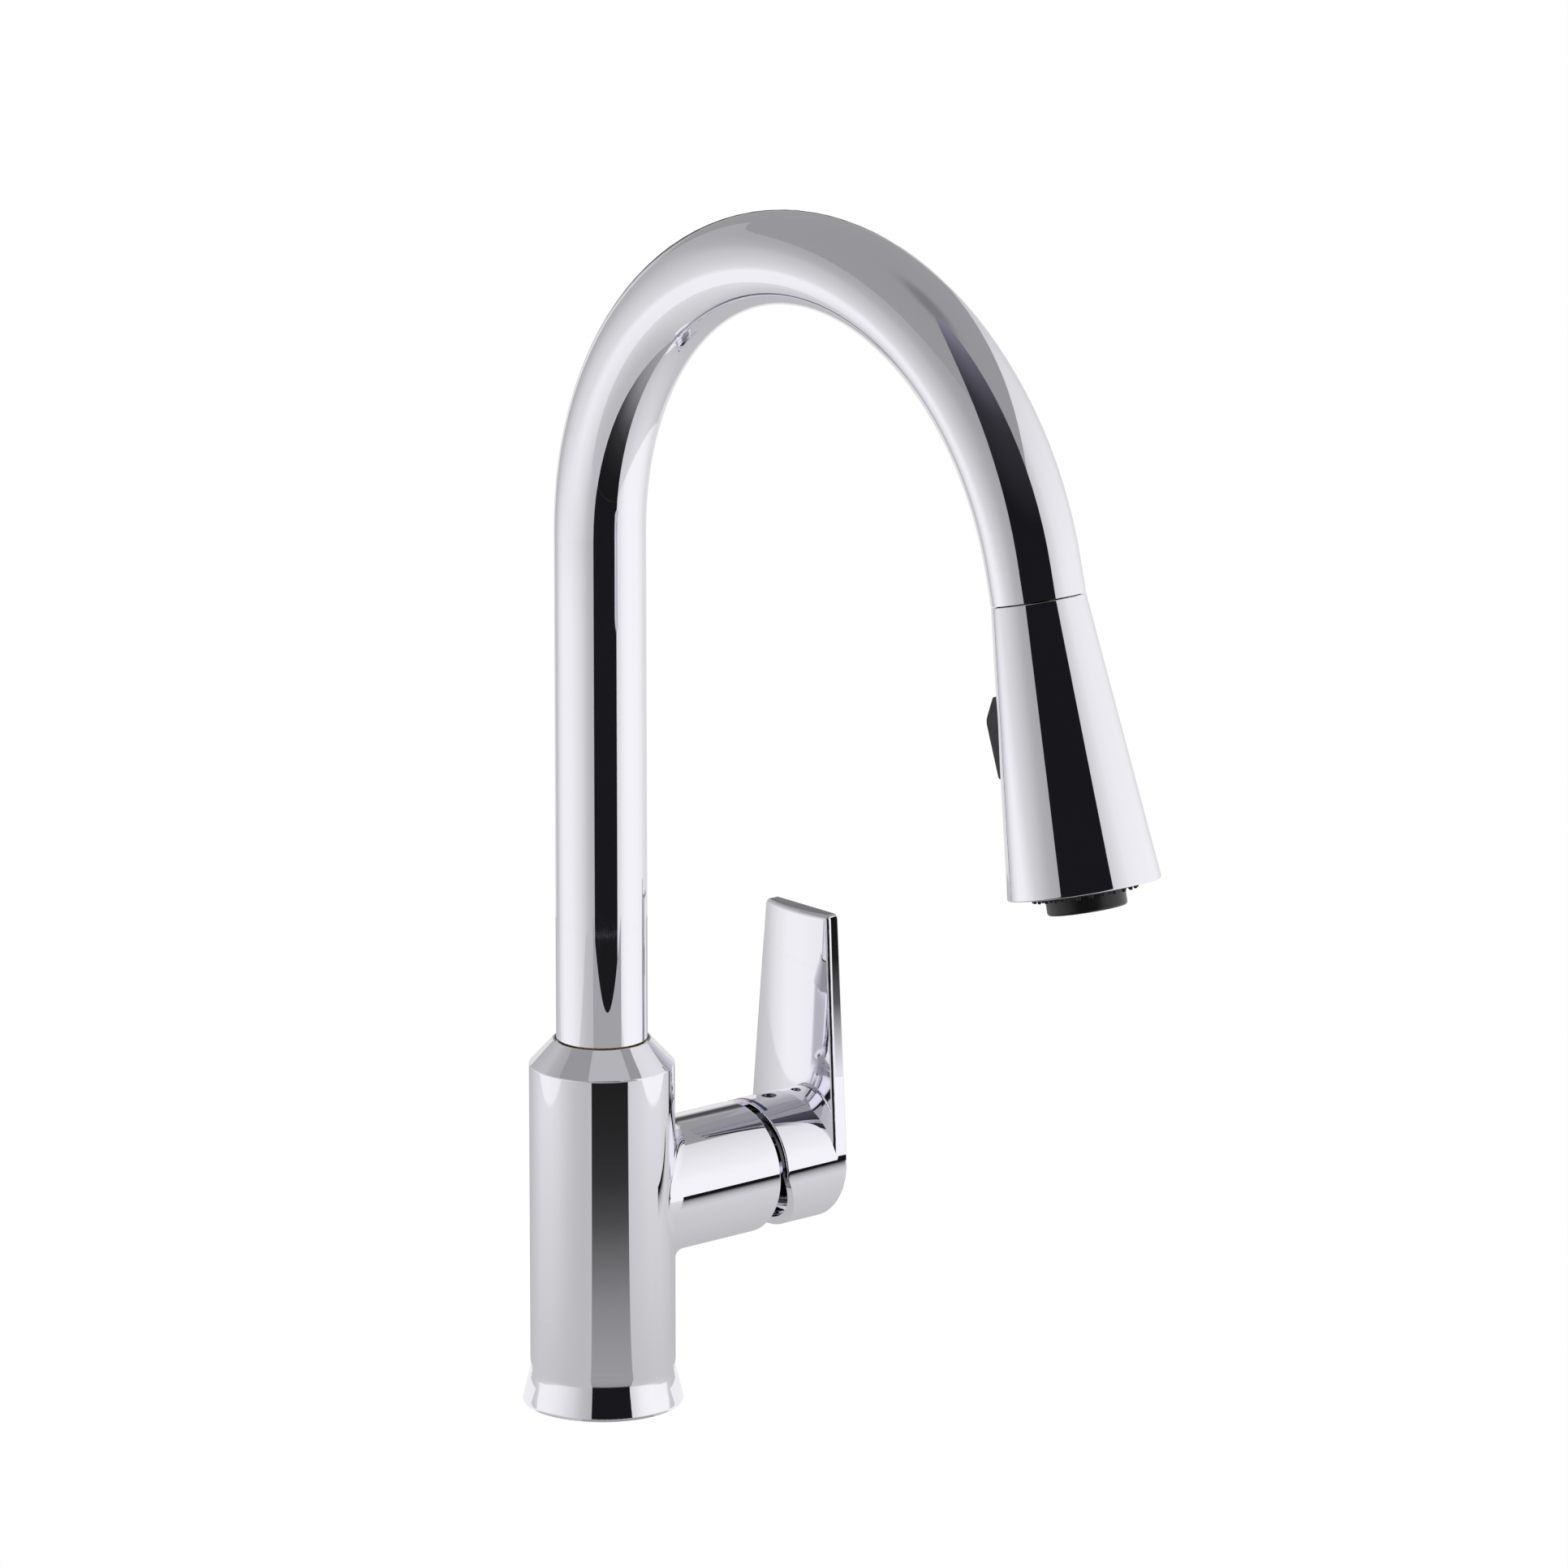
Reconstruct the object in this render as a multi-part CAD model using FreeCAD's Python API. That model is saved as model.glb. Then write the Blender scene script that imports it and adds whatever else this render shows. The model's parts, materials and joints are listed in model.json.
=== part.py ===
"""Pull-down kitchen faucet with a side lever, a high-arc swivel spout and a two-function spray head.

Millimetres. +Z is up, the origin is the centre of the base face that sits on the deck, the spout
reaches towards -Y and the valve with its lever stands out towards +X.
"""
import FreeCAD, Part
import math
import os

V = FreeCAD.Vector

# Body
BODY_R = 24.0
BODY_TOP_Z = 115.6
SHOULDER_TOP_Z = 124.2
SHOULDER_TOP_R = 16.1
BASE_R = 26.9
BASE_SLOPE_END_Z = 11.3
BASE_EDGE = 1.0
GASKET_IN_R = 20.0
GASKET_OUT_R = 24.5
GASKET_DEPTH = 2.5
SPOUT_BORE_R = 15.4
SPOUT_BORE_FLOOR_Z = 92.0
PASSAGE_R = 6.3
SHANK_RECESS_R = 16.95
SHANK_RECESS_Z = 10.0

# Supply and outlet ports in the floor of the shank recess
PORT_PITCH_R = 10.8
PORT_ANGLE = 52.0
PORT_THREAD_R = 3.45
PORT_DEPTH = 10.0
CHANNEL_R = 2.2

# Shank below the deck
SHANK_R = 16.9
SHANK_BORE_R = 15.0
SHANK_BOTTOM_Z = -58.0
SHANK_RELIEF_R = 16.3

# Valve on the side of the body
VALVE_Z = 68.8
HUB_R = 22.0
HUB_END_X = 59.0
HUB_FILLET = 5.5
HUB_ROOT_X = 9.0
CARTRIDGE_FLOOR_X = 20.5
CARTRIDGE_BORE_R = 17.5
NUT_BORE_R = 19.0
NUT_BORE_X = 44.0
PIVOT_X = 50.0
DISC_PORT_Y = 6.0
DISC_PORT_DROP = 4.0
DISC_OUTLET_RISE = 7.0
DISC_THROW = 2.7
BALL_X = 36.0

# Handle
CAP_START_X = 62.0
CAP_END_X = 88.0
CAP_R = 22.0
CAP_CAVITY_R = 19.2
CAP_CAVITY_X = 80.0
CAP_RELIEF_SLOPE = 0.44
BOSS_R = 8.5
BOSS_START_X = 69.6
STEM_SIDE = 8.0
SET_SCREW_X = 72.4
SET_SCREW_R = 2.5
LEVER_TOP = 84.7
LEVER_TOP_HALF = 15.8
LEVER_CROWN_X = 79.3
LEVER_CROWN_R = 55.0
LEVER_LEAN = 0.0486
LEVER_OUT_TOP_X = 89.2
LEVER_INNER_ROUND = 1.6
LEVER_OUTER_ROUND = 0.6
JOIN_TOLERANCE = 0.001
MARK_START_X = 63.1
MARK_WIDTH = 1.6
MARK_SPAN = 23.0

# Spout
TUBE_R = 15.05
TUBE_BORE_R = 13.85
TUBE_BOTTOM_Z = 124.6
ARC_Z = 295.0
ARC_R = 106.5
ARC_TURN = 166.0
TUBE_TAIL = 10.0
SLEEVE_BOTTOM_Z = 92.6

# Spray hose
HOSE_R = 5.6
HOSE_BORE_R = 3.4
HOSE_BOTTOM_Z = -62.0
HOSE_END_S = -16.7

# Spray head, measured along its axis from the seam with the spout
HEAD_START_S = 0.35
HEAD_TOP_R = 15.03
HEAD_LENGTH = 91.8
HEAD_BOTTOM_R = 24.4
HEAD_WALL = 1.8
WINDOW_START_S = 27.9
WINDOW_END_S = 54.7
WINDOW_HALF = 12.35
TOGGLE_HALF = 12.0
TOGGLE_PIVOT_S = 43.0
TOGGLE_PIVOT_Y = -12.5
TOGGLE_SWEEP_R = 14.9
TOGGLE_ARM = 8.9
FACE_R = 17.7
AERATOR_R = 12.7


def profile_face(corners):
    """Flat face in the XZ plane through (x, z, corner radius) corners."""
    count = len(corners)
    points = [V(x, 0, z) for x, z, _ in corners]
    turns = []
    for index in range(count):
        here = points[index]
        radius = corners[index][2]
        if radius == 0:
            turns.append((here, None, here))
            continue
        back = (points[index - 1] - here).normalize()
        ahead = (points[(index + 1) % count] - here).normalize()
        half = back.getAngle(ahead) / 2
        reach = radius / math.tan(half)
        centre = here + (back + ahead).normalize() * (radius / math.sin(half))
        middle = centre + (here - centre).normalize() * radius
        turns.append((here + back * reach, middle, here + ahead * reach))
    edges = []
    for index in range(count):
        arrive, middle, leave = turns[index]
        if middle is not None:
            edges.append(Part.Arc(arrive, middle, leave).toShape())
        following = turns[(index + 1) % count][0]
        if (following - leave).Length > 1e-6:
            edges.append(Part.LineSegment(leave, following).toShape())
    return Part.Face(Part.Wire(edges))


def turned(corners):
    """Solid of revolution about +Z from an (r, h, corner radius) section."""
    return profile_face(corners).revolve(V(0, 0, 0), V(0, 0, 1), 360)


def ring(outer, inner, low, high, edge=0.0):
    """Ring about +Z with an optional rounding on its outer edges."""
    return turned([(inner, low, 0), (outer, low, edge), (outer, high, edge), (inner, high, 0)])


def rod(radius, low, high):
    """Cylinder about +Z between two heights."""
    return Part.makeCylinder(radius, high - low, V(0, 0, low))


def rod_between(radius, start, end):
    """Cylinder between two points."""
    way = end - start
    return Part.makeCylinder(radius, way.Length, start, way)


def box(low, high):
    """Box between two corners."""
    size = V(*high) - V(*low)
    return Part.makeBox(size.x, size.y, size.z, V(*low))


def on_valve(shape):
    """Turn a shape made about +Z so that its axis is the valve's, along +X."""
    placed = shape.copy()
    placed.rotate(V(0, 0, 0), V(0, 1, 0), 90)
    placed.translate(V(0, 0, VALVE_Z))
    return placed


def seam_centre():
    """Centre of the seam between the spout and the spray head."""
    turn = math.radians(ARC_TURN)
    end = V(0, -ARC_R + ARC_R * math.cos(turn), ARC_Z + ARC_R * math.sin(turn))
    return end + head_direction() * TUBE_TAIL


def head_direction():
    """Direction of the spray head's axis, away from the spout."""
    turn = math.radians(ARC_TURN)
    return V(0, -math.sin(turn), math.cos(turn))


def on_head(shape):
    """Place a shape made about +Z, with h = 0 at the seam, on the spray head's axis."""
    placed = shape.copy()
    placed.rotate(V(0, 0, 0), V(1, 0, 0), ARC_TURN)
    placed.translate(seam_centre())
    return placed


def gooseneck(radius, bottom, turn_end, tail):
    """Round bar along the spout's centre line: up, over the arc and a straight tail."""
    turn = math.radians(turn_end)
    half = turn / 2
    foot = V(0, 0, bottom)
    spring = V(0, 0, ARC_Z)
    top = V(0, -ARC_R + ARC_R * math.cos(half), ARC_Z + ARC_R * math.sin(half))
    end = V(0, -ARC_R + ARC_R * math.cos(turn), ARC_Z + ARC_R * math.sin(turn))
    edges = [Part.LineSegment(foot, spring).toShape(), Part.Arc(spring, top, end).toShape()]
    if tail > 0:
        edges.append(Part.LineSegment(end, end + head_direction() * tail).toShape())
    section = Part.Wire([Part.makeCircle(radius, foot, V(0, 0, 1))])
    return Part.Wire(edges).makePipeShell([section], True, False)


def head_radius(s):
    """Outer radius of the spray head's cone at a distance s from the seam."""
    share = (s - HEAD_START_S) / (HEAD_LENGTH - HEAD_START_S)
    return HEAD_TOP_R + (HEAD_BOTTOM_R - HEAD_TOP_R) * share


def port_points():
    """Centres of the hot, cold and mixed water ports in the body's underside."""
    turn = math.radians(PORT_ANGLE)
    side = PORT_PITCH_R * math.sin(turn)
    near = PORT_PITCH_R * math.cos(turn)
    return [V(near, side, 0), V(near, -side, 0), V(PORT_PITCH_R, 0, 0)]


def disc_ports():
    """Centres of the hot, cold and mixed water ports in the valve's disc plane, as (y, z)."""
    low = VALVE_Z - DISC_PORT_DROP
    return [(DISC_PORT_Y, low), (-DISC_PORT_Y, low), (0.0, VALVE_Z + DISC_OUTLET_RISE)]


def body_column():
    """Upright part of the body as one turned section: flare, shoulder, spout bore, passage and recess."""
    return turned([
        (SHANK_RECESS_R, 0, 0),
        (GASKET_IN_R, 0, 0),
        (GASKET_IN_R, GASKET_DEPTH, 0),
        (GASKET_OUT_R, GASKET_DEPTH, 0),
        (GASKET_OUT_R, 0, 0),
        (BASE_R, 0, BASE_EDGE),
        (BODY_R, BASE_SLOPE_END_Z, 12.7),
        (BODY_R, BODY_TOP_Z, 0.8),
        (SHOULDER_TOP_R, SHOULDER_TOP_Z, 0.3),
        (SPOUT_BORE_R, SHOULDER_TOP_Z, 0),
        (SPOUT_BORE_R, 98.7, 0),
        (16.7, 98.7, 0),
        (16.7, 97.0, 0),
        (SPOUT_BORE_R, 97.0, 0),
        (SPOUT_BORE_R, SPOUT_BORE_FLOOR_Z, 0),
        (PASSAGE_R, SPOUT_BORE_FLOOR_Z, 0),
        (PASSAGE_R, SHANK_RECESS_Z, 0),
        (SHANK_RECESS_R, SHANK_RECESS_Z, 0),
    ])


def is_blend_edge(edge):
    """True for the curve where the hub meets the upright body."""
    limits = edge.BoundBox
    near_body = limits.XMin > HUB_ROOT_X and limits.XMax < BODY_R + 0.1
    on_both = abs(limits.XMax - BODY_R) < 0.1 or limits.ZLength > 15
    return near_body and on_both and limits.YLength > 15


def make_body_casting():
    """Body with the spout bore, hose passage, valve cavity, water channels and shank recess."""
    hub = on_valve(turned([
        (0, HUB_ROOT_X, 0),
        (HUB_R, HUB_ROOT_X, 0),
        (HUB_R, HUB_END_X, 0.8),
        (0, HUB_END_X, 0),
    ]))
    joined = body_column().fuse(hub).removeSplitter()
    blend_edges = [edge for edge in joined.Edges if is_blend_edge(edge)]
    print("blend edges", len(blend_edges))
    solid = joined.makeFillet(HUB_FILLET, blend_edges)
    cuts = [
        on_valve(rod(CARTRIDGE_BORE_R, CARTRIDGE_FLOOR_X, HUB_END_X + 1)),
        on_valve(rod(NUT_BORE_R, NUT_BORE_X, HUB_END_X + 1)),
    ]
    for port, (y, z) in zip(port_points(), disc_ports()):
        floor = SHANK_RECESS_Z + PORT_DEPTH
        knee = V(14.0, y, z)
        cuts.append(rod_between(PORT_THREAD_R, port + V(0, 0, SHANK_RECESS_Z - 1), port + V(0, 0, floor)))
        cuts.append(rod_between(CHANNEL_R, port + V(0, 0, floor - 0.5), knee))
        cuts.append(rod_between(CHANNEL_R, knee, V(CARTRIDGE_FLOOR_X + 1, y, z)))
    for cut in cuts:
        solid = solid.cut(cut)
    return solid


def make_base_gasket():
    return ring(GASKET_OUT_R - 0.05, GASKET_IN_R + 0.05, 0, GASKET_DEPTH - 0.1, 0.5)


def make_mounting_shank():
    """Threaded shank that passes through the deck, with a relief under its shoulder."""
    return turned([
        (SHANK_BORE_R, SHANK_BOTTOM_Z, 0),
        (SHANK_R, SHANK_BOTTOM_Z, 0),
        (SHANK_R, -1.0, 0),
        (SHANK_RELIEF_R, -1.0, 0),
        (SHANK_RELIEF_R, 1.0, 0),
        (SHANK_R, 1.0, 0),
        (SHANK_R, SHANK_RECESS_Z - 0.05, 0),
        (SHANK_BORE_R, SHANK_RECESS_Z - 0.05, 0),
    ])


def make_spout_snap_ring():
    """Split ring that keeps the spout from lifting out of the body."""
    whole = ring(16.6, 13.9, 97.1, 98.6)
    return whole.cut(box((-3, 10, 96), (3, 20, 100)))


def make_cartridge_seals():
    """Three port seals under the cartridge."""
    seals = []
    for y, z in disc_ports():
        seal = ring(3.6, 2.4, CARTRIDGE_FLOOR_X + 0.02, CARTRIDGE_FLOOR_X + 0.98)
        seal.rotate(V(0, 0, 0), V(0, 1, 0), 90)
        seal.translate(V(0, y, z))
        seals.append(seal)
    return Part.makeCompound(seals)


def port_holes(start_x, end_x, radius):
    """Straight holes behind each other at the three disc ports."""
    return [rod_between(radius, V(start_x, y, z), V(end_x, y, z)) for y, z in disc_ports()]


def make_cartridge_base():
    solid = on_valve(rod(17.4, 21.55, 25.6))
    for hole in port_holes(21, 26, 2.3):
        solid = solid.cut(hole)
    return solid


def make_fixed_ceramic_disc():
    solid = on_valve(rod(13.5, 25.65, 29.7))
    for hole in port_holes(25, 30, 2.5):
        solid = solid.cut(hole)
    return solid


def make_moving_ceramic_disc():
    """Moving disc with the mixing pocket that bridges the ports."""
    centre = DISC_THROW
    solid = on_valve(rod(10.0, 29.74, 33.2))
    pocket = on_valve(rod(6.2, 29.0, 31.4))
    solid = solid.cut(pocket)
    solid.translate(V(0, 0, -centre))
    return solid


def make_disc_carrier():
    """Carrier on the moving disc with the socket for the stem's ball."""
    solid = on_valve(rod(10.0, 33.25, 37.4))
    solid.translate(V(0, 0, -DISC_THROW))
    socket = rod_between(3.05, V(33, 0, VALVE_Z), V(38, 0, VALVE_Z))
    return solid.cut(socket)


def make_cartridge_housing():
    """Cartridge shell with its neck."""
    return on_valve(turned([
        (14.6, 25.65, 0),
        (17.4, 25.65, 0),
        (17.4, 43.95, 0.4),
        (11.5, 43.95, 0),
        (11.5, 52.5, 0.4),
        (9.6, 52.5, 0),
        (9.6, 42.0, 0),
        (14.6, 42.0, 0),
    ]))


def make_cartridge_rotor():
    """Turning part of the cartridge that carries the stem pin."""
    solid = on_valve(turned([
        (0, 37.6, 0),
        (14.3, 37.6, 0),
        (14.3, 41.8, 0),
        (9.5, 41.8, 0),
        (9.5, 54.5, 0.5),
        (0, 54.5, 0),
    ]))
    slot_half = STEM_SIDE / 2 + 0.15
    slot = box((37, -slot_half, VALVE_Z - 8.0), (55, slot_half, VALVE_Z + 8.6))
    pin_hole = rod_between(1.5, V(PIVOT_X, -10, VALVE_Z), V(PIVOT_X, 10, VALVE_Z))
    return solid.cut(slot).cut(pin_hole)


def make_stem_pin():
    return rod_between(1.5, V(PIVOT_X, -9.2, VALVE_Z), V(PIVOT_X, 9.2, VALVE_Z))


def make_cartridge_stem():
    """Square stem that tilts on its pin, with a ball at the disc end."""
    half = STEM_SIDE / 2
    shaft = box((46.5, -half, VALVE_Z - half), (79.4, half, VALVE_Z + half))
    neck = rod_between(2.0, V(BALL_X, 0, VALVE_Z), V(47, 0, VALVE_Z))
    ball = Part.makeSphere(2.5, V(BALL_X, 0, VALVE_Z))
    pin_hole = rod_between(1.55, V(PIVOT_X, -10, VALVE_Z), V(PIVOT_X, 10, VALVE_Z))
    return shaft.fuse([neck, ball]).cut(pin_hole)


def make_cartridge_nut():
    """Ring nut that clamps the cartridge."""
    solid = on_valve(ring(18.9, 11.7, 44.05, 53.0, 0.4))
    for index in range(2):
        slot = box((50.5, -20, VALVE_Z - 1.6), (54, 20, VALVE_Z + 1.6))
        slot.rotate(V(PIVOT_X, 0, VALVE_Z), V(1, 0, 0), 90 * index)
        solid = solid.cut(slot)
    return solid


def make_bonnet():
    """Domed cover over the nut, concentric with the stem's pivot."""
    outer_r = 18.55
    inner_r = 17.5
    dome = Part.makeSphere(outer_r, V(PIVOT_X, 0, VALVE_Z)).cut(Part.makeSphere(inner_r, V(PIVOT_X, 0, VALVE_Z)))
    dome = dome.common(box((57.0, -20, VALVE_Z - 20), (70, 20, VALVE_Z + 20)))
    flange = on_valve(ring(18.85, 15.8, 57.0, 58.6, 0.2))
    hole = on_valve(rod(11.8, 56, 72))
    return dome.fuse(flange).removeSplitter().cut(hole)


def lever_blank():
    """Lever plate: tapered outline cut to the leaning side section, with a crowned face towards the body."""
    distance = math.hypot(LEVER_TOP_HALF, LEVER_TOP)
    swing = math.atan2(LEVER_TOP_HALF, LEVER_TOP) + math.acos(CAP_R / distance)
    side = CAP_R * math.sin(swing)
    rise = CAP_R * math.cos(swing)
    outline = profile_face([
        (side, rise, 0),
        (LEVER_TOP_HALF, LEVER_TOP, 1.8),
        (-LEVER_TOP_HALF, LEVER_TOP, 1.8),
        (-side, rise, 0),
    ])
    plate = outline.extrude(V(0, 20, 0))
    plate.rotate(V(0, 0, 0), V(0, 0, 1), -90)
    plate.translate(V(LEVER_CROWN_X - 4, 0, VALVE_Z))
    section = profile_face([
        (LEVER_CROWN_X - 3, -2, 0),
        (CAP_END_X, -2, 0),
        (CAP_END_X, 0, 60.0),
        (LEVER_OUT_TOP_X, LEVER_TOP + 1, 0),
        (LEVER_CROWN_X - 3, LEVER_TOP + 1, 0),
    ])
    side_form = section.extrude(V(0, 60, 0))
    side_form.translate(V(0, -30, VALVE_Z))
    foot = V(LEVER_CROWN_X + LEVER_CROWN_R - LEVER_LEAN * CAP_R, 0, VALVE_Z)
    crown = Part.makeCylinder(LEVER_CROWN_R, 200, foot - V(LEVER_LEAN, 0, 1) * 50, V(LEVER_LEAN, 0, 1))
    blank = plate.common(side_form).common(crown)
    blank = blank.makeFillet(LEVER_INNER_ROUND, [edge for edge in blank.Edges if runs_up_inside(edge)])
    return blank.makeFillet(LEVER_OUTER_ROUND, [edge for edge in blank.Edges if is_outer_edge(edge)])


def runs_up_inside(edge):
    """True for the two long edges of the lever plate on the side of the body."""
    limits = edge.BoundBox
    return limits.ZLength > 40 and limits.XMax < LEVER_OUT_TOP_X - 2


def is_outer_edge(edge):
    """True for the long edges on the far side of the lever plate and those across its top."""
    limits = edge.BoundBox
    runs_up = limits.ZLength > 40 and limits.XMax > LEVER_OUT_TOP_X - 1.5
    across_top = limits.ZMin > VALVE_Z + LEVER_TOP - 2.2 and limits.XLength < 3
    return runs_up or across_top


def mark_band(start_angle, end_angle):
    """Thin arc of a ring on the cap, between two angles from the top towards +Y."""
    band = ring(CAP_R, CAP_R - 0.3, MARK_START_X, MARK_START_X + MARK_WIDTH)
    band = on_valve(band)
    low = min(start_angle, end_angle)
    span = abs(end_angle - start_angle)
    reach = 40.0
    start = math.radians(low)
    end = math.radians(low + span)
    wedge = Part.Face(Part.makePolygon([
        V(60, 0, VALVE_Z),
        V(60, reach * math.sin(start), VALVE_Z + reach * math.cos(start)),
        V(60, reach * math.sin(end), VALVE_Z + reach * math.cos(end)),
        V(60, 0, VALVE_Z),
    ])).extrude(V(10, 0, 0))
    return band.common(wedge)


def make_hot_mark():
    return mark_band(0.3, MARK_SPAN)


def make_cold_mark():
    return mark_band(-MARK_SPAN, -0.3)


def make_handle_lever():
    """Cap over the valve and the flat lever that rises from its outer end."""
    cap = on_valve(turned([(0, CAP_START_X, 0), (CAP_R, CAP_START_X, 0.5), (CAP_R, CAP_END_X, 0.9), (0, CAP_END_X, 0)]))
    whole = cap.fuse([lever_blank()], JOIN_TOLERANCE).removeSplitter()
    whole = whole.cut(on_valve(ring(CAP_CAVITY_R, BOSS_R, BOSS_START_X - 1, CAP_CAVITY_X)))
    whole = whole.cut(on_valve(rod(CAP_CAVITY_R, CAP_START_X - 1, BOSS_START_X)))
    relief = Part.Face(Part.makePolygon([
        V(CAP_START_X - 5, -30, 0),
        V(CAP_START_X, -30, 0),
        V(CAP_START_X + 30 * CAP_RELIEF_SLOPE, -30, -30),
        V(CAP_START_X - 5, -30, -30),
        V(CAP_START_X - 5, -30, 0),
    ])).extrude(V(0, 60, 0))
    relief.translate(V(0, 0, VALVE_Z))
    whole = whole.cut(relief)
    socket_half = STEM_SIDE / 2 + 0.04
    socket = box((BOSS_START_X - 1, -socket_half, VALVE_Z - socket_half), (79.5, socket_half, VALVE_Z + socket_half))
    screw_hole = rod_between(SET_SCREW_R + 0.05, V(SET_SCREW_X, 0, VALVE_Z), V(SET_SCREW_X, 0, VALVE_Z + 25))
    whole = whole.cut(socket).cut(screw_hole)
    return whole.cut(make_hot_mark()).cut(make_cold_mark())


def make_handle_set_screw():
    """Grub screw with a hexagon socket."""
    low = VALVE_Z + STEM_SIDE / 2 + 0.05
    screw = rod_between(SET_SCREW_R, V(SET_SCREW_X, 0, low), V(SET_SCREW_X, 0, low + 7.0))
    corners = [V(1.44 * math.cos(math.radians(60 * i)), 1.44 * math.sin(math.radians(60 * i)), 0) for i in range(7)]
    socket = Part.Face(Part.makePolygon(corners)).extrude(V(0, 0, 4))
    socket.translate(V(SET_SCREW_X, 0, low + 3.6))
    return screw.cut(socket)


def make_set_screw_plug():
    """Small cover plug, set a little below the cap's surface."""
    low = V(SET_SCREW_X, 0, VALVE_Z + CAP_R - 3.2)
    plug = rod_between(SET_SCREW_R, low, low + V(0, 0, 2.6))
    dimple = Part.makeSphere(1.9, low + V(0, 0, 3.8))
    return plug.cut(dimple)


def make_spout_tube():
    """Bent tube of the spout."""
    outside = gooseneck(TUBE_R, TUBE_BOTTOM_Z, ARC_TURN, TUBE_TAIL)
    inside = gooseneck(TUBE_BORE_R, TUBE_BOTTOM_Z - 1, ARC_TURN, TUBE_TAIL + 1)
    return outside.cut(inside)


def make_spout_sleeve():
    """Journal brazed into the tube's foot, with seats for the glide rings, the O-ring and the snap ring."""
    return turned([
        (9.6, SLEEVE_BOTTOM_Z, 0),
        (15.1, SLEEVE_BOTTOM_Z, 0),
        (15.1, 96.7, 0),
        (13.6, 96.7, 0),
        (13.6, 99.0, 0),
        (15.1, 99.0, 0),
        (15.1, 100.5, 0),
        (14.2, 100.5, 0),
        (14.2, 105.5, 0),
        (15.1, 105.5, 0),
        (15.1, 108.0, 0),
        (13.4, 108.0, 0),
        (13.4, 110.4, 0),
        (15.1, 110.4, 0),
        (15.1, 113.0, 0),
        (14.2, 113.0, 0),
        (14.2, 121.0, 0),
        (15.05, 121.0, 0),
        (15.05, 123.2, 0),
        (14.3, 123.2, 0),
        (14.3, TUBE_BOTTOM_Z - 0.05, 0),
        (13.8, TUBE_BOTTOM_Z - 0.05, 0),
        (13.8, 142.0, 0.4),
        (9.6, 142.0, 0),
    ])


def make_lower_glide_ring():
    return ring(15.34, 14.22, 100.6, 105.4)


def make_upper_glide_ring():
    return ring(15.34, 14.22, 113.1, 120.9)


def make_spout_o_ring():
    return ring(15.36, 13.42, 108.1, 110.3, 0.8)


def make_docking_collar():
    """Guide in the spout's mouth, with a seat for the magnet ring."""
    return on_head(turned([
        (9.3, -9.6, 0),
        (13.75, -9.6, 0.6),
        (13.75, 0.0, 0),
        (13.3, 0.0, 0),
        (13.3, -5.0, 0),
        (9.3, -5.0, 0),
    ]))


def make_docking_magnet():
    return on_head(ring(13.25, 9.4, -4.95, -0.15, 0.3))


def make_spray_hose():
    """Spray hose from below the shank, through the body and over the arc."""
    past = (-TUBE_TAIL - HOSE_END_S) / ARC_R
    end = ARC_TURN - math.degrees(past)
    outside = gooseneck(HOSE_R, HOSE_BOTTOM_Z, end, 0)
    inside = gooseneck(HOSE_BORE_R, HOSE_BOTTOM_Z, end, 0)
    length = ARC_Z - HOSE_BOTTOM_Z + ARC_R * math.radians(end)
    print("hose", round(length, 1), "mm, volume ratio",
          outside.Volume / (math.pi * HOSE_R ** 2 * length))
    return outside.cut(inside)


def make_hose_coupling():
    """Quick-connect end of the spray hose below the deck."""
    return turned([
        (2.6, -80.0, 0),
        (4.4, -80.0, 0.4),
        (4.4, -77.5, 0),
        (3.6, -77.5, 0),
        (3.6, -75.5, 0),
        (4.4, -75.5, 0),
        (4.4, -71.0, 0),
        (6.6, -71.0, 0.4),
        (6.6, HOSE_BOTTOM_Z - 0.05, 0.4),
        (2.6, HOSE_BOTTOM_Z - 0.05, 0),
    ])


def make_hose_ferrule():
    """Crimped end of the spray hose, free to turn in its nut."""
    return on_head(turned([
        (2.8, -16.0, 0),
        (6.9, -16.0, 0.6),
        (6.9, -3.6, 0.3),
        (3.9, -3.6, 0),
        (3.9, 10.3, 0),
        (6.3, 10.3, 0),
        (6.3, 11.8, 0.3),
        (2.8, 11.8, 0),
    ]))


def make_swivel_nut():
    """Nut that screws into the spray head and turns on the hose's end."""
    return on_head(turned([
        (7.2, -11.5, 0),
        (8.6, -11.5, 0.3),
        (8.6, 0.6, 0.2),
        (7.2, 0.6, 0),
        (7.2, 10.0, 0.4),
        (3.96, 10.0, 0),
        (3.96, -3.3, 0),
        (7.2, -3.3, 0),
    ]))


def make_head_shell():
    """Conical outer shell with the window for the toggle."""
    wall = turned([
        (10.7, HEAD_START_S, 0),
        (HEAD_TOP_R, HEAD_START_S, 0.3),
        (HEAD_BOTTOM_R, HEAD_LENGTH, 0.5),
        (HEAD_BOTTOM_R - 2.3, HEAD_LENGTH, 0),
        (HEAD_BOTTOM_R - 2.3, HEAD_LENGTH - 5.5, 0),
        (head_radius(4.0) - HEAD_WALL, 4.0, 0),
        (10.7, 4.0, 0),
    ])
    wall = wall.cut(ring(13.2, 10.0, -1, 1.7))
    window = box((-WINDOW_HALF, -30, WINDOW_START_S), (WINDOW_HALF, -5, WINDOW_END_S))
    return on_head(wall.cut(window))


def make_docking_plate():
    """Steel ring on the head that the magnet holds."""
    return on_head(ring(13.1, 10.8, 0.4, 1.65))


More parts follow.
